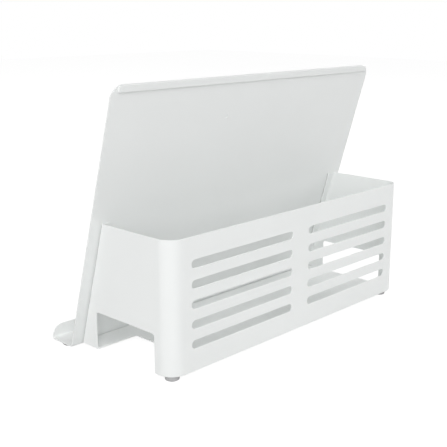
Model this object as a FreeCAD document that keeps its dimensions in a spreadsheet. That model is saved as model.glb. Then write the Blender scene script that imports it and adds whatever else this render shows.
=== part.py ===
import FreeCAD, Part
import math
import os
import re
import Sketcher

# Desk-top cable box with a leaning device stand, folded from painted steel sheet.
# X runs along the length, the device tray faces -Y, the slatted rear panel faces +Y, +Z is up.
# The origin is on the desk, under the middle of the object.

doc = FreeCAD.newDocument("CableBox")
sizes = doc.addObject("Spreadsheet::Sheet", "Sizes")

driving = {
    # overall
    "standLength": 350.0,
    "overallDepth": 150.0,
    "sheetThick": 1.2,
    "bendInside": 1.2,
    "seatClearance": 0.5,
    "fitGap": 0.3,
    # leaning plate, measured from the underside of the box
    "lean": 16.1,
    "plateRise": 235.5,
    "plateFootDepth": 120.0,
    "plateCorner": 12.0,
    "hemWidth": 6.2,
    "hemGap": 0.4,
    "hemEndInset": 7.0,
    "hemEndDrop": 1.2,
    "markAcross": 3.6,
    "markDeep": 0.45,
    "markOffset": 34.3,
    "markRise": 198.3,
    # device tray in front of the plate
    "trayDrop": 2.2,
    "lipHeight": 12.8,
    "lipCorner": 11.0,
    # box behind the plate
    "boxLength": 329.3,
    "boxHeight": 116.5,
    "rearCorner": 15.0,
    "flangeWidth": 10.0,
    "flangeBend": 2.0,
    # cable cut-outs in the two ends
    "cutHeight": 34.7,
    "cutRearDistance": 20.5,
    "cutFrontDistance": 23.3,
    "cutCorner": 3.0,
    # slots in the rear panel
    "slotLength": 129.3,
    "slotHeight": 7.4,
    "slotPitch": 17.4,
    "slotRows": 5,
    "slotLowest": 23.6,
    "slotPost": 23.2,
    # floor of the box
    "floorPlateGap": 0.6,
    "floorRearFlange": 10.0,
    "notchLength": 44.0,
    "notchMargin": 1.2,
    # rubber feet
    "footAcross": 12.7,
    "footEdge": 1.2,
    "nearFootInset": 9.6,
    "farFootInset": 15.3,
    "rearFootInset": 9.6,
    "footHeight": 4.5,
    "padAcross": 11.0,
    "padThick": 0.2,
    "frontFootEndInset": 7.5,
    "frontFootDepth": 16.0,
}
for row, (name, value) in enumerate(driving.items(), start=1):
    sizes.set("A%d" % row, name)
    sizes.set("B%d" % row, "%g" % value)
    sizes.setAlias("B%d" % row, name)
doc.recompute()


def cell(text):
    """Turn the short names in an expression into references to the sheet."""
    def named(found):
        return "Sizes." + found[0] if found[0] in driving else found[0]
    return re.sub(r"[A-Za-z]+", named, text)


# Heights and depths that several pieces share, as expressions of the sizes.
rearFace = "overallDepth / 2"
boxBottom = "footHeight + padThick"
boxTop = "footHeight + padThick + boxHeight"
trayBottom = "footHeight + padThick - trayDrop"
plateFoot = "(overallDepth / 2 - plateFootDepth)"
halfBox = "boxLength / 2"
halfStand = "standLength / 2"
plateLength = "plateRise / cos(lean)"
cutRear = rearFace + " - cutRearDistance"
cutFront = plateFoot + " + cutFrontDistance"


def onSlope(along, behind):
    """Y and Z of a point: a distance up the plate's back, and one behind it."""
    y = "%s + ( %s ) * sin(lean) + ( %s ) * cos(lean)" % (plateFoot, along, behind)
    z = "%s + ( %s ) * cos(lean) - ( %s ) * sin(lean)" % (boxBottom, along, behind)
    return (y, z)


def slopeAtHeight(rise, behind):
    """Y and Z where a plane parallel to the plate's back meets a height over the box bottom."""
    y = "%s + ( %s ) * tan(lean) + ( %s ) / cos(lean)" % (plateFoot, rise, behind)
    z = "%s + ( %s )" % (boxBottom, rise)
    return (y, z)


def onSlopeOffset(behind):
    """Offset of a tilted sketch: its origin lies at the plate's foot, a distance behind the back."""
    y, z = onSlope("0", behind)
    return {"y": z, "z": "0 - (%s)" % y}


def newBody(label):
    body = doc.addObject("PartDesign::Body", label)
    body.Label = label
    return body


def newSketch(body, role, name, offset=None, tilted=False):
    """A sketch on one of the body's own origin planes, moved by expressions and tilted to the plate."""
    sketch = body.newObject("Sketcher::SketchObject", name)
    plane = [feature for feature in body.Origin.OriginFeatures if feature.Role == role][0]
    sketch.AttachmentSupport = [(plane, "")]
    sketch.MapMode = "FlatFace"
    if tilted:
        turn = FreeCAD.Rotation(FreeCAD.Vector(-1, 0, 0), driving["lean"])
        sketch.AttachmentOffset = FreeCAD.Placement(FreeCAD.Vector(0, 0, 0), turn)
        sketch.setExpression("AttachmentOffset.Rotation.Angle", cell("lean"))
    for axis, text in (offset or {}).items():
        sketch.setExpression("AttachmentOffset.Base." + axis, cell(text))
    return sketch


def bind(sketch, constraint, text):
    index = sketch.addConstraint(constraint)
    sketch.setExpression("Constraints[%d]" % index, cell(text))


def addOutline(sketch, corners):
    """A closed outline through corners, each given as two expressions."""
    count = len(corners)
    start = sketch.GeometryCount
    places = []
    for index in range(count):
        angle = 2 * math.pi * (index + 0.3) / count
        places.append(FreeCAD.Vector(10 * math.cos(angle), 10 * math.sin(angle), 0))
    for index in range(count):
        sketch.addGeometry(Part.LineSegment(places[index], places[(index + 1) % count]), False)
    for index in range(count):
        following = start + (index + 1) % count
        sketch.addConstraint(Sketcher.Constraint("Coincident", start + index, 2, following, 1))
    for index, (across, up) in enumerate(corners):
        line = start + index
        bind(sketch, Sketcher.Constraint("DistanceX", -1, 1, line, 1, places[index].x), across)
        bind(sketch, Sketcher.Constraint("DistanceY", -1, 1, line, 1, places[index].y), up)


def addFeature(body, kind, name, profile, length, midplane=False, reverse=False, throughAll=False):
    before = body.Tip.Shape.Volume if kind == "Pocket" else None
    feature = body.newObject("PartDesign::" + kind, name)
    feature.Profile = profile
    if throughAll:
        feature.Type = "ThroughAll"
    else:
        feature.setExpression("Length", cell(length))
    feature.Midplane = midplane
    feature.Reversed = reverse
    doc.recompute()
    if before is not None and feature.Shape.Volume > before - 0.01:
        raise ValueError(name + " cuts nothing")
    return feature


def edgesOf(feature, test):
    """Names of the edges whose middle point and direction pass a test."""
    found = []
    for index, edge in enumerate(feature.Shape.Edges, start=1):
        if edge.Curve.TypeId != "Part::GeomLine":
            continue
        first = edge.Vertexes[0].Point
        last = edge.Vertexes[-1].Point
        middle = (first + last) * 0.5
        if test(middle, (last - first).normalize(), edge.Length):
            found.append("Edge%d" % index)
    return found


def roundEdges(body, name, base, radius, test, wanted):
    edges = edgesOf(base, test)
    if len(edges) != wanted:
        raise ValueError("%s found %d edges, not %d" % (name, len(edges), wanted))
    fillet = body.newObject("PartDesign::Fillet", name)
    fillet.Base = (base, edges)
    fillet.setExpression("Radius", cell(radius))
    doc.recompute()
    return fillet


def near(value, goal):
    return abs(value - goal) < 0.02


# Plain numbers for finding edges, worked out from the same sizes.
size = dict(driving)
tilt = math.radians(size["lean"])
bottomZ = size["footHeight"] + size["padThick"]
footY = size["overallDepth"] / 2 - size["plateFootDepth"]


def slopePoint(along, behind):
    y = footY + along * math.sin(tilt) + behind * math.cos(tilt)
    z = bottomZ + along * math.cos(tilt) - behind * math.sin(tilt)
    return (y, z)


def slopeY(rise, behind):
    return footY + rise * math.tan(tilt) + behind / math.cos(tilt)


def alongX(direction):
    return abs(direction.x) > 0.999


def makeStand():
    """Leaning plate, tray and lip: one folded sheet with a hemmed top edge."""
    body = newBody("device_stand")
    thick = size["sheetThick"]
    profile = newSketch(body, "YZ_Plane", "StandProfile")
    lipFront = "0 - overallDepth / 2"
    lipTop = "%s + lipHeight" % trayBottom
    addOutline(profile, [
        (lipFront, trayBottom),
        slopeAtHeight("0 - trayDrop", "0"),
        onSlope(plateLength, "0"),
        onSlope(plateLength, "0 - sheetThick"),
        slopeAtHeight("sheetThick - trayDrop", "0 - sheetThick"),
        (lipFront + " + sheetThick", trayBottom + " + sheetThick"),
        (lipFront + " + sheetThick", lipTop),
        (lipFront, lipTop),
    ])
    pad = addFeature(body, "Pad", "StandPad", profile, "standLength", midplane=True)

    halfLength = size["standLength"] / 2
    trayZ = bottomZ - size["trayDrop"]
    lipTopZ = trayZ + size["lipHeight"]
    topY, topZ = slopePoint(size["plateRise"] / math.cos(tilt), -thick / 2)

    def lipCorner(middle, direction, length):
        return near(abs(middle.x), halfLength) and near(middle.z, lipTopZ) and abs(direction.y) > 0.99

    def topCorner(middle, direction, length):
        return near(abs(middle.x), halfLength) and near(middle.z, topZ) and near(middle.y, topY)

    step = roundEdges(body, "LipCorners", pad, "lipCorner", lipCorner, 2)
    step = roundEdges(body, "PlateCorners", step, "plateCorner", topCorner, 2)

    outerBends = [
        (-size["overallDepth"] / 2, trayZ),
        (slopeY(-size["trayDrop"], 0), trayZ),
    ]
    innerBends = [
        (-size["overallDepth"] / 2 + thick, trayZ + thick),
        (slopeY(thick - size["trayDrop"], -thick), trayZ + thick),
    ]

    def at(places):
        def test(middle, direction, length):
            return alongX(direction) and any(near(middle.y, y) and near(middle.z, z) for y, z in places)
        return test

    step = roundEdges(body, "InnerBends", step, "bendInside", at(innerBends), 2)
    step = roundEdges(body, "OuterBends", step, "bendInside + sheetThick", at(outerBends), 2)

    # The hem: a short return over the top edge, and the flap down the back.
    crest = newSketch(body, "YZ_Plane", "HemCrestProfile")
    addOutline(crest, [
        onSlope(plateLength + " - sheetThick", "0 - sheetThick"),
        onSlope(plateLength, "0 - sheetThick"),
        onSlope(plateLength, "hemGap + sheetThick"),
        onSlope(plateLength + " - sheetThick", "hemGap + sheetThick"),
    ])
    step = addFeature(body, "Pad", "HemCrest", crest, "standLength - 2 * plateCorner", midplane=True)
    flapPlane = onSlopeOffset("hemGap + sheetThick")
    flap = newSketch(body, "XZ_Plane", "HemFlapOutline", tilted=True, offset=flapPlane)
    halfFlap = "( standLength / 2 - hemEndInset )"
    halfCrest = "( standLength / 2 - plateCorner )"
    hemEdge = plateLength + " - hemWidth"
    endTop = plateLength + " - hemEndDrop"
    addOutline(flap, [
        ("0 - " + halfFlap, hemEdge),
        (halfFlap, hemEdge),
        (halfFlap, endTop),
        (halfCrest, plateLength),
        ("0 - " + halfCrest, plateLength),
        ("0 - " + halfFlap, endTop),
    ])
    step = addFeature(body, "Pad", "HemFlap", flap, "sheetThick")

    # The hem is closed at its two ends.
    ends = newSketch(body, "XZ_Plane", "HemEndOutline", tilted=True, offset=flapPlane)
    for sign in ("0 - ", ""):
        inner = "%s( %s - sheetThick )" % (sign, halfFlap)
        addOutline(ends, [
            (inner, hemEdge),
            (sign + halfFlap, hemEdge),
            (sign + halfFlap, endTop),
            (inner, endTop),
        ])
    step = addFeature(body, "Pad", "HemEnds", ends, "hemGap + sheetThick")

    # A small round pressing on the plate's back.
    mark = newSketch(body, "XZ_Plane", "MarkOutline", tilted=True, offset=onSlopeOffset("0"))
    circle = mark.addGeometry(Part.Circle(FreeCAD.Vector(3, 3, 0), FreeCAD.Vector(0, 0, 1), 2), False)
    bind(mark, Sketcher.Constraint("DistanceX", -1, 1, circle, 3, 3), "markOffset")
    bind(mark, Sketcher.Constraint("DistanceY", -1, 1, circle, 3, 3), "markRise / cos(lean)")
    bind(mark, Sketcher.Constraint("Diameter", circle, 4), "markAcross")
    addFeature(body, "Pocket", "BackMark", mark, "markDeep", reverse=True)
    return body


def makeShell():
    """Near end, slatted rear panel and far end in one folded sheet, with flanges against the plate."""
    body = newBody("box_shell")
    thick = size["sheetThick"]
    front = slopeAtHeight("0", "seatClearance")[0]
    around = newSketch(body, "XY_Plane", "ShellOutline", offset={"z": boxBottom})
    addOutline(around, [
        ("0 - " + halfBox, front),
        ("0 - " + halfBox, rearFace),
        (halfBox, rearFace),
        (halfBox, front),
        (halfBox + " - sheetThick", front),
        (halfBox + " - sheetThick", rearFace + " - sheetThick"),
        ("sheetThick - " + halfBox, rearFace + " - sheetThick"),
        ("sheetThick - " + halfBox, front),
    ])
    step = addFeature(body, "Pad", "ShellPad", around, "boxHeight")

    # The end panels stop at the plate's back.
    wedge = newSketch(body, "YZ_Plane", "FrontTrim")
    addOutline(wedge, [
        slopeAtHeight("0 - rearCorner", "seatClearance"),
        slopeAtHeight("boxHeight + rearCorner", "seatClearance"),
        ("0 - overallDepth", boxTop + " + rearCorner"),
        ("0 - overallDepth", boxBottom + " - rearCorner"),
    ])
    step = addFeature(body, "Pocket", "FrontTrimCut", wedge, "boxLength + sheetThick", midplane=True)

    # Flanges turned inwards, leaning with the plate.
    flanges = newSketch(body, "XY_Plane", "FlangeOutline", offset={"z": boxBottom})
    flangeFront = slopeAtHeight("0", "seatClearance")[0]
    flangeBack = slopeAtHeight("0", "seatClearance + sheetThick")[0]
    for sign in ("0 - ", ""):
        inner = "%s( %s - flangeWidth )" % (sign, halfBox)
        outer = "%s( %s )" % (sign, halfBox)
        addOutline(flanges, [
            (inner, flangeFront),
            (outer, flangeFront),
            (outer, flangeBack),
            (inner, flangeBack),
        ])
    pad = body.newObject("PartDesign::Pad", "FlangePad")
    pad.Profile = flanges
    pad.UseCustomVector = True
    pad.Direction = FreeCAD.Vector(0, math.sin(tilt), math.cos(tilt))
    pad.setExpression("Direction.y", cell("sin(lean)"))
    pad.setExpression("Direction.z", cell("cos(lean)"))
    pad.AlongSketchNormal = True
    pad.setExpression("Length", cell("boxHeight"))
    doc.recompute()
    step = pad

    middleRise = size["boxHeight"] / 2
    outerY = slopeY(middleRise, size["seatClearance"])
    innerY = slopeY(middleRise, size["seatClearance"] + thick)
    middleZ = bottomZ + middleRise
    halfLength = size["boxLength"] / 2

    def leaningAt(x, y):
        def test(middle, direction, length):
            return near(abs(middle.x), x) and near(middle.y, y) and near(middle.z, middleZ)
        return test

    def uprightAt(x, y):
        def test(middle, direction, length):
            return near(abs(middle.x), x) and near(middle.y, y) and abs(direction.z) > 0.999
        return test

    innerBend = leaningAt(halfLength - thick, innerY)
    outerBend = leaningAt(halfLength, outerY)
    step = roundEdges(body, "FlangeInnerBends", step, "flangeBend", innerBend, 2)
    step = roundEdges(body, "FlangeOuterBends", step, "flangeBend + sheetThick", outerBend, 2)
    rear = size["overallDepth"] / 2
    step = roundEdges(body, "CornerInner", step, "rearCorner - sheetThick",
                      uprightAt(halfLength - thick, rear - thick), 2)
    step = roundEdges(body, "CornerOuter", step, "rearCorner", uprightAt(halfLength, rear), 2)

    # A cable cut-out in each end, open at the bottom.
    cut = newSketch(body, "YZ_Plane", "CutOutline")
    addOutline(cut, [
        (cutFront, boxBottom + " - cutCorner"),
        (cutRear, boxBottom + " - cutCorner"),
        (cutRear, boxBottom + " + cutHeight"),
        (cutFront, boxBottom + " + cutHeight"),
    ])
    step = addFeature(body, "Pocket", "CableCuts", cut, "boxLength + sheetThick", midplane=True)
    cutTop = bottomZ + size["cutHeight"]

    def cutCorner(middle, direction, length):
        return alongX(direction) and near(middle.z, cutTop) and length < 2 * thick

    step = roundEdges(body, "CutCorners", step, "cutCorner", cutCorner, 4)

    # Two groups of long slots in the rear panel.
    slots = newSketch(body, "XZ_Plane", "SlotOutline", offset={"z": "0 - " + rearFace})
    lowestRow = boxBottom + " + slotLowest"
    for sign in ("0 - ", ""):
        nearPost = sign + "( slotPost + slotHeight ) / 2"
        nearEnd = sign + "( slotPost / 2 + slotLength - slotHeight / 2 )"
        addSlot(slots, nearPost, nearEnd, lowestRow, "slotHeight")
    row = addFeature(body, "Pocket", "SlotRow", slots, "sheetThick + seatClearance", reverse=True)
    rows = body.newObject("PartDesign::LinearPattern", "SlotRows")
    rows.Originals = [row]
    rows.Direction = (slots, ["V_Axis"])
    rows.setExpression("Length", cell("( slotRows - 1 ) * slotPitch"))
    rows.setExpression("Occurrences", cell("slotRows"))
    body.Tip = rows
    doc.recompute()
    return body


def addSlot(sketch, first, last, up, height):
    """A long slot with round ends: the two end centres, the height of its middle and its full height."""
    start = sketch.GeometryCount
    low, high, radius = 10.0, 30.0, 4.0
    if first.startswith("0 - "):
        first, last = last, first
        low, high = -30.0, -10.0
    normal = FreeCAD.Vector(0, 0, 1)
    quarter = math.pi / 2
    lower = FreeCAD.Vector(low, 20, 0)
    upper = FreeCAD.Vector(high, 20, 0)
    lift = FreeCAD.Vector(0, radius, 0)
    sketch.addGeometry(Part.LineSegment(lower - lift, upper - lift), False)
    sketch.addGeometry(Part.ArcOfCircle(Part.Circle(upper, normal, radius), -quarter, quarter), False)
    sketch.addGeometry(Part.LineSegment(upper + lift, lower + lift), False)
    sketch.addGeometry(Part.ArcOfCircle(Part.Circle(lower, normal, radius), quarter, 3 * quarter), False)
    sketch.addConstraint(Sketcher.Constraint("Tangent", start, 2, start + 1, 1))
    sketch.addConstraint(Sketcher.Constraint("Tangent", start + 1, 2, start + 2, 1))
    sketch.addConstraint(Sketcher.Constraint("Tangent", start + 2, 2, start + 3, 1))
    sketch.addConstraint(Sketcher.Constraint("Tangent", start + 3, 2, start, 1))
    sketch.addConstraint(Sketcher.Constraint("Equal", start + 1, start + 3))
    bind(sketch, Sketcher.Constraint("DistanceX", -1, 1, start + 3, 3, low), first)
    bind(sketch, Sketcher.Constraint("DistanceX", -1, 1, start + 1, 3, high), last)
    bind(sketch, Sketcher.Constraint("DistanceY", -1, 1, start + 3, 3, 20), up)
    bind(sketch, Sketcher.Constraint("DistanceY", -1, 1, start + 1, 3, 20), up)
    bind(sketch, Sketcher.Constraint("Diameter", start + 1, 2 * radius), height)


def makeFloor():
    """Flat floor sheet between the ends and up to the plate, with a low flange against the rear panel."""
    body = newBody("floor_panel")
    halfFloor = halfBox + " - sheetThick - fitGap"
    halfFront = halfBox + " - flangeWidth - fitGap"
    rearEdge = rearFace + " - sheetThick - fitGap"
    frontEdge = slopeAtHeight("sheetThick", "floorPlateGap")[0]
    relief = slopeAtHeight("sheetThick", "seatClearance + sheetThick + flangeBend + fitGap")[0]
    sheet = newSketch(body, "XY_Plane", "FloorOutline", offset={"z": boxBottom})
    addOutline(sheet, [
        ("0 - (%s)" % halfFloor, relief),
        ("0 - (%s)" % halfFront, relief),
        ("0 - (%s)" % halfFront, frontEdge),
        (halfFront, frontEdge),
        (halfFront, relief),
        (halfFloor, relief),
        (halfFloor, rearEdge),
        ("0 - (%s)" % halfFloor, rearEdge),
    ])
    pad = addFeature(body, "Pad", "FloorPad", sheet, "sheetThick")
    halfLength = size["boxLength"] / 2 - size["sheetThick"] - size["fitGap"]
    rear = size["overallDepth"] / 2 - size["sheetThick"] - size["fitGap"]

    def rearCorner(middle, direction, length):
        return near(abs(middle.x), halfLength) and near(middle.y, rear) and abs(direction.z) > 0.999

    roundEdges(body, "FloorCorners", pad, "rearCorner - sheetThick - fitGap", rearCorner, 2)

    rearTurn = newSketch(body, "YZ_Plane", "RearFlangeProfile")
    rootEdge = rearEdge + " - bendInside - 2 * sheetThick"
    addOutline(rearTurn, [
        (rootEdge, boxBottom),
        (rearEdge, boxBottom),
        (rearEdge, boxBottom + " + floorRearFlange"),
        (rearEdge + " - sheetThick", boxBottom + " + floorRearFlange"),
        (rearEdge + " - sheetThick", boxBottom + " + sheetThick"),
        (rootEdge, boxBottom + " + sheetThick"),
    ])
    turned = addFeature(body, "Pad", "RearFlange", rearTurn, "boxLength - 2 * rearCorner", midplane=True)
    insideZ = bottomZ + size["sheetThick"]

    def flangeRoot(middle, direction, length):
        return alongX(direction) and near(middle.y, rear - size["sheetThick"]) and near(middle.z, insideZ)

    roundEdges(body, "RearFlangeBend", turned, "bendInside", flangeRoot, 1)

    # Notch under the near cable cut-out.
    notch = newSketch(body, "XY_Plane", "NotchOutline", offset={"z": boxBottom})
    addOutline(notch, [
        (halfBox + " - notchLength", cutFront + " + notchMargin"),
        (halfBox, cutFront + " + notchMargin"),
        (halfBox, cutRear),
        (halfBox + " - notchLength", cutRear),
    ])
    addFeature(body, "Pocket", "NearNotch", notch, "sheetThick + seatClearance", reverse=True)
    return body


def makeRound(label, across, bottom, height, x, y, edge=None):
    """A disc or foot: a circle padded upwards, with an optional rounded lower edge."""
    body = newBody(label)
    outline = newSketch(body, "XY_Plane", label + "_outline", offset={"x": x, "y": y, "z": bottom})
    circle = outline.addGeometry(Part.Circle(FreeCAD.Vector(0, 0, 0), FreeCAD.Vector(0, 0, 1), 5), False)
    outline.addConstraint(Sketcher.Constraint("Coincident", circle, 3, -1, 1))
    bind(outline, Sketcher.Constraint("Diameter", circle, 10), across)
    pad = addFeature(body, "Pad", label + "_pad", outline, height)
    if edge:
        lowest = min(pad.Shape.Edges, key=lambda rim: rim.BoundBox.ZMax)
        index = [rim.isSame(lowest) for rim in pad.Shape.Edges].index(True) + 1
        fillet = body.newObject("PartDesign::Fillet", label + "_edge")
        fillet.Base = (pad, ["Edge%d" % index])
        fillet.setExpression("Radius", cell(edge))
        doc.recompute()
    return body


bodies = [makeStand(), makeShell(), makeFloor()]
rearFootY = rearFace + " - rearFootInset"
frontFootX = "( %s - frontFootEndInset )" % halfStand
places = {
    "rear_far": ("farFootInset - " + halfBox, rearFootY, "footHeight"),
    "rear_near": (halfBox + " - nearFootInset", rearFootY, "footHeight"),
    "front_far": ("0 - " + frontFootX, "frontFootDepth - " + rearFace, "footHeight - trayDrop"),
    "front_near": (frontFootX, "frontFootDepth - " + rearFace, "footHeight - trayDrop"),
}
for place, (x, y, height) in places.items():
    bodies.append(makeRound("foot_" + place, "footAcross", "0", height, x, y, edge="footEdge"))
    bodies.append(makeRound("pad_" + place, "padAcross", height, "padThick", x, y))
doc.recompute()

for item in doc.Objects:
    if "Invalid" in item.State or "Error" in item.State:
        raise ValueError(item.Name + " did not build")
os.makedirs("parts", exist_ok=True)
for body in bodies:
    if body.Shape.isNull() or not body.Shape.isValid() or len(body.Shape.Solids) != 1:
        raise ValueError(body.Label + " is not one sound solid")
    body.Shape.exportStep("parts/" + body.Label + ".step")
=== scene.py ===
import bpy
import bmesh
import math
from mathutils import Matrix, Vector


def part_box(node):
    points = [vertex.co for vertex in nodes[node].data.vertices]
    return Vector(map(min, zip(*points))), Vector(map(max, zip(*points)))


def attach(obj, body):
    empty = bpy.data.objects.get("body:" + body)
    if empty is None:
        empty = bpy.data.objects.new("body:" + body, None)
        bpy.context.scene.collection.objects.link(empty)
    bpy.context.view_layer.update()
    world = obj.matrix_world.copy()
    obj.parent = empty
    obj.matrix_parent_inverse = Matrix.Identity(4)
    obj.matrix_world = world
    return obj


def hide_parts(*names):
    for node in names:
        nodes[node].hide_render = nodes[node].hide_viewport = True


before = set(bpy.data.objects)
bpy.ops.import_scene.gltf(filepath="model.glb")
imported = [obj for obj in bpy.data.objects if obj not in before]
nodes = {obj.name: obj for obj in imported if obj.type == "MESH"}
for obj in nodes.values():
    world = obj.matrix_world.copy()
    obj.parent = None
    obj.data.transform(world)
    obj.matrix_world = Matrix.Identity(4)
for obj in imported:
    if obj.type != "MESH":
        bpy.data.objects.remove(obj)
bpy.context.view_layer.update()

print("frame loaded:", len(nodes), "nodes")


# helpers for materials and node trees
def newMaterial(name):
    mat = bpy.data.materials.new(name)
    mat.use_nodes = True
    tree = mat.node_tree
    tree.nodes.clear()
    out = tree.nodes.new("ShaderNodeOutputMaterial")
    return mat, tree, out


def addNode(tree, kind, **sockets):
    node = tree.nodes.new(kind)
    for name, value in sockets.items():
        node.inputs[name.replace("_", " ")].default_value = value
    return node


def mathNode(tree, operation, first, second=None, clamp=False):
    node = tree.nodes.new("ShaderNodeMath")
    node.operation = operation
    node.use_clamp = clamp
    for index, value in enumerate((first, second)):
        if value is None:
            continue
        if isinstance(value, (int, float)):
            node.inputs[index].default_value = value
        else:
            tree.links.new(value, node.inputs[index])
    return node.outputs[0]


def noiseOnObject(tree, scale, detail):
    coords = tree.nodes.new("ShaderNodeTexCoord")
    noise = addNode(tree, "ShaderNodeTexNoise", Scale=scale, Detail=detail)
    tree.links.new(coords.outputs["Object"], noise.inputs["Vector"])
    return noise.outputs["Fac"]


def rampBetween(tree, source, low, high, lowPos=0.3, highPos=0.7):
    ramp = tree.nodes.new("ShaderNodeValToRGB")
    ramp.color_ramp.elements[0].position = lowPos
    ramp.color_ramp.elements[0].color = (*low, 1)
    ramp.color_ramp.elements[1].position = highPos
    ramp.color_ramp.elements[1].color = (*high, 1)
    tree.links.new(source, ramp.inputs["Fac"])
    return ramp.outputs["Color"]


def remap(tree, source, low, high):
    span = addNode(tree, "ShaderNodeMapRange", To_Min=low, To_Max=high)
    tree.links.new(source, span.inputs["Value"])
    return span.outputs["Result"]


def addBump(tree, source, height, under=None):
    bump = addNode(tree, "ShaderNodeBump", Strength=1.0, Distance=height)
    tree.links.new(source, bump.inputs["Height"])
    if under is not None:
        tree.links.new(under, bump.inputs["Normal"])
    return bump.outputs["Normal"]


def dressSkin(tree, out, values, tintNoise, shineNoise):
    skin = addNode(tree, "ShaderNodeBsdfPrincipled", IOR=values["ior"])
    tint = rampBetween(tree, tintNoise, values["dark"], values["light"])
    tree.links.new(tint, skin.inputs["Base Color"])
    shine = remap(tree, shineNoise, values["roughLow"], values["roughHigh"])
    tree.links.new(shine, skin.inputs["Roughness"])
    tree.links.new(skin.outputs["BSDF"], out.inputs["Surface"])
    return skin


# white powder coat: faint clouding, orange peel and a fine grain
coatValues = {
    "light": (0.889, 0.905, 0.898),
    "dark": (0.875, 0.891, 0.884),
    "cloudScale": 14.0,
    "cloudDetail": 3.0,
    "ior": 1.5,
    "roughLow": 0.40,
    "roughHigh": 0.50,
    "peelScale": 620.0,
    "peelDetail": 2.0,
    "peelHeight": 0.00003,
    "grainScale": 2600.0,
    "grainDetail": 2.0,
    "grainHeight": 0.00001,
}


def makePowderCoat():
    mat, tree, out = newMaterial("whitePowderCoat")
    clouds = noiseOnObject(tree, coatValues["cloudScale"], coatValues["cloudDetail"])
    peel = noiseOnObject(tree, coatValues["peelScale"], coatValues["peelDetail"])
    grain = noiseOnObject(tree, coatValues["grainScale"], coatValues["grainDetail"])
    skin = dressSkin(tree, out, coatValues, clouds, peel)
    peelBump = addBump(tree, peel, coatValues["peelHeight"])
    grainBump = addBump(tree, grain, coatValues["grainHeight"], peelBump)
    tree.links.new(grainBump, skin.inputs["Normal"])
    return mat


# grey rubber of the feet: dusty, matt, with a moulded grain
rubberValues = {
    "light": (0.52, 0.52, 0.525),
    "dark": (0.45, 0.45, 0.455),
    "mottleScale": 180.0,
    "mottleDetail": 4.0,
    "ior": 1.48,
    "roughLow": 0.62,
    "roughHigh": 0.78,
    "grainScale": 1800.0,
    "grainDetail": 3.0,
    "grainHeight": 0.00003,
}


def makeRubber():
    mat, tree, out = newMaterial("greyFootRubber")
    mottle = noiseOnObject(tree, rubberValues["mottleScale"], rubberValues["mottleDetail"])
    grain = noiseOnObject(tree, rubberValues["grainScale"], rubberValues["grainDetail"])
    skin = dressSkin(tree, out, rubberValues, mottle, grain)
    tree.links.new(addBump(tree, grain, rubberValues["grainHeight"]), skin.inputs["Normal"])
    return mat


# thin film that holds each foot
filmValues = {
    "light": (0.66, 0.65, 0.62),
    "dark": (0.58, 0.57, 0.54),
    "fibreScale": 900.0,
    "fibreDetail": 3.0,
    "ior": 1.46,
    "roughLow": 0.5,
    "roughHigh": 0.7,
}


def makeFilm():
    mat, tree, out = newMaterial("adhesiveFilm")
    fibre = noiseOnObject(tree, filmValues["fibreScale"], filmValues["fibreDetail"])
    dressSkin(tree, out, filmValues, fibre, fibre)
    return mat


powderCoat = makePowderCoat()
footRubber = makeRubber()
adhesiveFilm = makeFilm()
print("finishes made")


# the three sheets, with the soft edges that a coated sheet has
sheetValues = {
    "edgeRound": 0.00022,
    "edgeSteps": 2,
    "sharpAngle": 40.0,
    "flatAngle": 0.4,
    "mergeDistance": 0.000002,
    "markAt": (0.0343, 0.0120, 0.2031),      # the small pressing keeps crisp edges
    "markReach": 0.003,
}
sheetPieces = {
    "device_stand": "standSheet",
    "box_shell": "shellSheet",
    "floor_panel": "floorSheet",
}


def softenSheet(nodeName, pieceName, mat):
    mesh = nodes[nodeName].data.copy()
    mesh.name = pieceName
    work = bmesh.new()
    work.from_mesh(mesh)
    bmesh.ops.remove_doubles(work, verts=work.verts, dist=sheetValues["mergeDistance"])
    flat = math.radians(sheetValues["flatAngle"])
    bmesh.ops.dissolve_limit(work, angle_limit=flat, verts=work.verts, edges=work.edges)
    weight = work.edges.layers.float.new("bevel_weight_edge")
    sharp = math.radians(sheetValues["sharpAngle"])
    mark = Vector(sheetValues["markAt"])
    for edge in work.edges:
        turn = edge.calc_face_angle_signed(0.0)
        crisp = (edge.verts[0].co - mark).length < sheetValues["markReach"]
        edge[weight] = 1.0 if turn > sharp and not crisp else 0.0
        edge.smooth = abs(turn) < sharp
    for face in work.faces:
        face.smooth = True
    work.to_mesh(mesh)
    work.free()
    mesh.materials.clear()
    mesh.materials.append(mat)
    piece = bpy.data.objects.new(pieceName, mesh)
    bpy.context.scene.collection.objects.link(piece)
    bevel = piece.modifiers.new("coatedEdge", "BEVEL")
    bevel.width = sheetValues["edgeRound"]
    bevel.segments = sheetValues["edgeSteps"]
    bevel.limit_method = "WEIGHT"
    bevel.use_clamp_overlap = False
    shade = piece.modifiers.new("flatFaces", "WEIGHTED_NORMAL")
    shade.keep_sharp = True
    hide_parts(nodeName)
    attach(piece, "root")


for nodeName, pieceName in sheetPieces.items():
    softenSheet(nodeName, pieceName, powderCoat)
print("sheets softened:", ", ".join(sheetPieces.values()))


# rubber feet, set out on points by one tree
footValues = {
    "inputs": {
        "Radius": 0.00635,
        "Edge Round": 0.0013,
        "Draft": 0.03,      # narrowing per height, towards the desk
        "Gate Radius": 0.0012,
        "Gate Depth": 0.00025,
    },
    "mesh": {"Vertices": 64, "Side Segments": 24, "Fill Segments": 10},
    "undersideLimit": 0.00001,      # below this height a point is on the underside
    "sharpAngle": 50.0,
}
footSets = {
    "rearFeet": ["foot_rear_near", "foot_rear_far"],
    "frontFeet": ["foot_front_near", "foot_front_far"],
}


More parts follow.
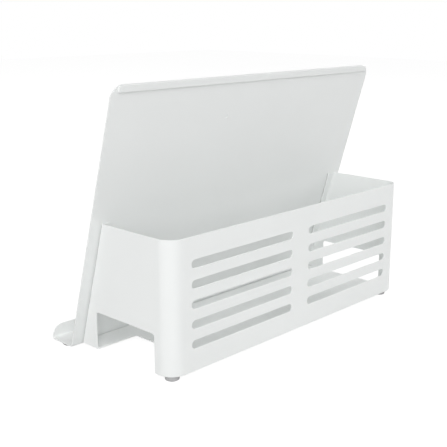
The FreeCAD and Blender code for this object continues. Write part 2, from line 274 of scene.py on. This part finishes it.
def makeFootTree(mat):
    tree = bpy.data.node_groups.new("footSetOut", "GeometryNodeTree")
    tree.interface.new_socket("Geometry", in_out="INPUT", socket_type="NodeSocketGeometry")
    for name in ["Height", *footValues["inputs"]]:
        tree.interface.new_socket(name, in_out="INPUT", socket_type="NodeSocketFloat")
    tree.interface.new_socket("Geometry", in_out="OUTPUT", socket_type="NodeSocketGeometry")
    given = tree.nodes.new("NodeGroupInput")
    result = tree.nodes.new("NodeGroupOutput")
    stub = addNode(tree, "GeometryNodeMeshCylinder", **footValues["mesh"])
    tree.links.new(given.outputs["Radius"], stub.inputs["Radius"])
    tree.links.new(given.outputs["Height"], stub.inputs["Depth"])

    place = tree.nodes.new("GeometryNodeInputPosition")
    parts = tree.nodes.new("ShaderNodeSeparateXYZ")
    tree.links.new(place.outputs[0], parts.inputs[0])
    halfHeight = mathNode(tree, "MULTIPLY", given.outputs["Height"], 0.5)
    rise = mathNode(tree, "ADD", parts.outputs["Z"], halfHeight)      # height over the desk
    # lower edge: a quarter round, cut into the radius as the height falls below the rounding
    depth = mathNode(tree, "DIVIDE", rise, given.outputs["Edge Round"])
    missing = mathNode(tree, "SUBTRACT", 1.0, depth, clamp=True)
    squared = mathNode(tree, "MULTIPLY", missing, missing)
    cosine = mathNode(tree, "SQRT", mathNode(tree, "SUBTRACT", 1.0, squared, clamp=True))
    versine = mathNode(tree, "SUBTRACT", 1.0, cosine)
    cutBack = mathNode(tree, "MULTIPLY", versine, given.outputs["Edge Round"])
    share = mathNode(tree, "DIVIDE", cutBack, given.outputs["Radius"])
    # a little draft, so that the foot is widest where it sticks on
    fromTop = mathNode(tree, "SUBTRACT", halfHeight, parts.outputs["Z"])
    leanIn = mathNode(tree, "DIVIDE", fromTop, given.outputs["Radius"])
    draft = mathNode(tree, "MULTIPLY", leanIn, given.outputs["Draft"])
    factor = mathNode(tree, "SUBTRACT", 1.0, mathNode(tree, "ADD", share, draft))
    # the moulding's gate leaves a shallow dimple in the underside
    acrossX = mathNode(tree, "MULTIPLY", parts.outputs["X"], parts.outputs["X"])
    acrossY = mathNode(tree, "MULTIPLY", parts.outputs["Y"], parts.outputs["Y"])
    across = mathNode(tree, "SQRT", mathNode(tree, "ADD", acrossX, acrossY))
    gateShare = mathNode(tree, "DIVIDE", across, given.outputs["Gate Radius"])
    inGate = mathNode(tree, "SUBTRACT", 1.0, gateShare, clamp=True)
    low = mathNode(tree, "LESS_THAN", rise, footValues["undersideLimit"])
    gate = mathNode(tree, "MULTIPLY", inGate, low)
    lift = mathNode(tree, "MULTIPLY", gate, given.outputs["Gate Depth"])
    moved = tree.nodes.new("ShaderNodeCombineXYZ")
    tree.links.new(mathNode(tree, "MULTIPLY", parts.outputs["X"], factor), moved.inputs[0])
    tree.links.new(mathNode(tree, "MULTIPLY", parts.outputs["Y"], factor), moved.inputs[1])
    tree.links.new(mathNode(tree, "ADD", rise, lift), moved.inputs[2])
    shape = tree.nodes.new("GeometryNodeSetPosition")
    tree.links.new(stub.outputs["Mesh"], shape.inputs["Geometry"])
    tree.links.new(moved.outputs[0], shape.inputs["Position"])

    spread = tree.nodes.new("GeometryNodeInstanceOnPoints")
    tree.links.new(given.outputs["Geometry"], spread.inputs["Points"])
    tree.links.new(shape.outputs["Geometry"], spread.inputs["Instance"])
    real = tree.nodes.new("GeometryNodeRealizeInstances")
    tree.links.new(spread.outputs["Instances"], real.inputs["Geometry"])
    finish = tree.nodes.new("GeometryNodeSetMaterial")
    finish.inputs["Material"].default_value = mat
    tree.links.new(real.outputs["Geometry"], finish.inputs["Geometry"])
    tree.links.new(finish.outputs["Geometry"], result.inputs["Geometry"])
    return tree


def makeFeet(pieceName, nodeNames, tree, mat):
    points = []
    for name in nodeNames:
        low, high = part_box(name)
        points.append(((low[0] + high[0]) / 2, (low[1] + high[1]) / 2, low[2]))
        height = high[2] - low[2]      # all feet are of one height
    seed = bpy.data.meshes.new(pieceName + "Points")
    seed.from_pydata(points, [], [])
    carrier = bpy.data.objects.new(pieceName + "Points", seed)
    bpy.context.scene.collection.objects.link(carrier)
    setOut = carrier.modifiers.new("footSetOut", "NODES")
    setOut.node_group = tree
    inputs = [item for item in tree.interface.items_tree if item.in_out == "INPUT"]
    sockets = {item.name: item.identifier for item in inputs}
    for name, value in {"Height": height, **footValues["inputs"]}.items():
        setOut[sockets[name]] = value
    bpy.context.view_layer.update()
    graph = bpy.context.evaluated_depsgraph_get()
    mesh = bpy.data.meshes.new_from_object(carrier.evaluated_get(graph))
    bpy.data.objects.remove(carrier)
    mesh.name = pieceName
    for face in mesh.polygons:
        face.use_smooth = True
    mesh.set_sharp_from_angle(angle=math.radians(footValues["sharpAngle"]))
    mesh.materials.clear()
    mesh.materials.append(mat)
    feet = bpy.data.objects.new(pieceName, mesh)
    bpy.context.scene.collection.objects.link(feet)
    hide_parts(*nodeNames)
    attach(feet, "root")


footTree = makeFootTree(footRubber)
for pieceName, nodeNames in footSets.items():
    makeFeet(pieceName, nodeNames, footTree, footRubber)
print("feet set out:", ", ".join(footSets))

for name, obj in nodes.items():      # the adhesive films keep their CAD shape
    if name.startswith("pad"):
        obj.data.materials.clear()
        obj.data.materials.append(adhesiveFilm)
print("films finished")


# floor, light and camera
floorValues = {
    "size": 8.0,
    "bounce": 0.80,      # the colour that lights the object from below
    "bounceSpread": 0.01,
    "shadow": 0.25,      # the part of the seen colour that a shadow takes away
    "shadowSpread": 0.005,
    "white": 0.90,       # added for what the camera and reflections see
    "roughness": 0.5,
    "grainScale": 40.0,
    "grainDetail": 2.0,
}


def eyeRays(tree):
    rays = tree.nodes.new("ShaderNodeLightPath").outputs
    seen = mathNode(tree, "MAXIMUM", rays["Is Camera Ray"], rays["Is Glossy Ray"])
    return mathNode(tree, "MAXIMUM", seen, rays["Is Transmission Ray"])


def mixForEyes(tree, light, seen, out):
    mix = tree.nodes.new("ShaderNodeMixShader")
    tree.links.new(eyeRays(tree), mix.inputs[0])
    tree.links.new(light, mix.inputs[1])
    tree.links.new(seen, mix.inputs[2])
    tree.links.new(mix.outputs["Shader"], out.inputs["Surface"])


def makePaper(tree, grain, tone, spread):
    paper = addNode(tree, "ShaderNodeBsdfDiffuse", Roughness=floorValues["roughness"])
    tint = rampBetween(tree, grain, (tone - spread,) * 3, (tone,) * 3)
    tree.links.new(tint, paper.inputs["Color"])
    return paper.outputs["BSDF"]


def makeFloor():
    mesh = bpy.data.meshes.new("studioFloor")
    half = floorValues["size"] / 2
    corners = [(-half, -half, 0), (half, -half, 0), (half, half, 0), (-half, half, 0)]
    mesh.from_pydata(corners, [], [(0, 1, 2, 3)])
    floor = bpy.data.objects.new("studioFloor", mesh)
    bpy.context.scene.collection.objects.link(floor)
    mat, tree, out = newMaterial("studioFloorWhite")
    grain = noiseOnObject(tree, floorValues["grainScale"], floorValues["grainDetail"])
    paper = makePaper(tree, grain, floorValues["bounce"], floorValues["bounceSpread"])
    shade = makePaper(tree, grain, floorValues["shadow"], floorValues["shadowSpread"])
    glow = addNode(tree, "ShaderNodeEmission", Color=(1, 1, 1, 1), Strength=floorValues["white"])
    seen = tree.nodes.new("ShaderNodeAddShader")
    tree.links.new(shade, seen.inputs[0])
    tree.links.new(glow.outputs["Emission"], seen.inputs[1])
    mixForEyes(tree, paper, seen.outputs["Shader"], out)
    mesh.materials.append(mat)


worldValues = {
    "fill": 0.30,      # even light on the object
    "white": 1.0,      # what the camera and reflections see
}


def makeWorld():
    world = bpy.data.worlds.new("studioWorld")
    bpy.context.scene.world = world
    world.use_nodes = True
    tree = world.node_tree
    tree.nodes.clear()
    out = tree.nodes.new("ShaderNodeOutputWorld")
    fill = addNode(tree, "ShaderNodeBackground", Color=(1, 1, 1, 1), Strength=worldValues["fill"])
    white = addNode(tree, "ShaderNodeBackground", Color=(1, 1, 1, 1), Strength=worldValues["white"])
    mixForEyes(tree, fill.outputs["Background"], white.outputs["Background"], out)


lampTarget = (0, 0, 0.1)      # the point that all lamps face
lampValues = {
    "besideCamera": {"at": (1.55, 1.50, 0.75), "size": 1.2, "power": 11.5},
    "nearEnd": {"at": (2.2, 0.0, 0.7), "size": 1.4, "power": 6.8},
    "overhead": {"at": (1.2, 1.2, 1.7), "size": 1.4, "power": 15.8},
    "behindAbove": {"at": (0.0, 1.2, 2.0), "size": 1.4, "power": 2.0},
    "farEnd": {"at": (-2.2, 0.2, 0.9), "size": 1.4, "power": 13.0},
    "farRear": {"at": (-1.5, 1.6, 0.8), "size": 1.4, "power": 7.0},
    "front": {"at": (-0.5, -2.2, 0.5), "size": 1.2, "power": 12.0},
}


def makeLamp(name, values):
    light = bpy.data.lights.new(name, "AREA")
    light.shape = "DISK"
    light.size = values["size"]
    light.energy = values["power"]
    lamp = bpy.data.objects.new(name, light)
    bpy.context.scene.collection.objects.link(lamp)
    lamp.location = values["at"]
    towards = Vector(lampTarget) - lamp.location
    lamp.rotation_euler = towards.to_track_quat("-Z", "Y").to_euler()


cameraValues = {
    "at": (0.59712, 0.54582, 0.29824),
    "azimuth": 133.66,
    "elevation": 14.21,
    "roll": 0.06,
    "lens": 68.38,
    "sensor": 36.0,
}


def makeCamera():
    data = bpy.data.cameras.new("photoCamera")
    data.sensor_width = cameraValues["sensor"]
    data.lens = cameraValues["lens"]
    camera = bpy.data.objects.new("photoCamera", data)
    bpy.context.scene.collection.objects.link(camera)
    turn = math.radians(cameraValues["azimuth"])
    rise = math.radians(cameraValues["elevation"])
    back = Vector((math.sin(turn) * math.cos(rise), -math.cos(turn) * math.cos(rise), math.sin(rise)))
    right = Vector((0, 0, 1)).cross(back).normalized()
    up = back.cross(right)
    frameTurn = Matrix((right, up, back)).transposed().to_4x4()
    spin = Matrix.Rotation(math.radians(cameraValues["roll"]), 4, "Z")
    camera.matrix_world = Matrix.Translation(cameraValues["at"]) @ frameTurn @ spin
    bpy.context.scene.camera = camera


makeFloor()
makeWorld()
for name, values in lampValues.items():
    makeLamp(name, values)
makeCamera()
bpy.context.scene.view_settings.view_transform = "Standard"
print("studio ready")
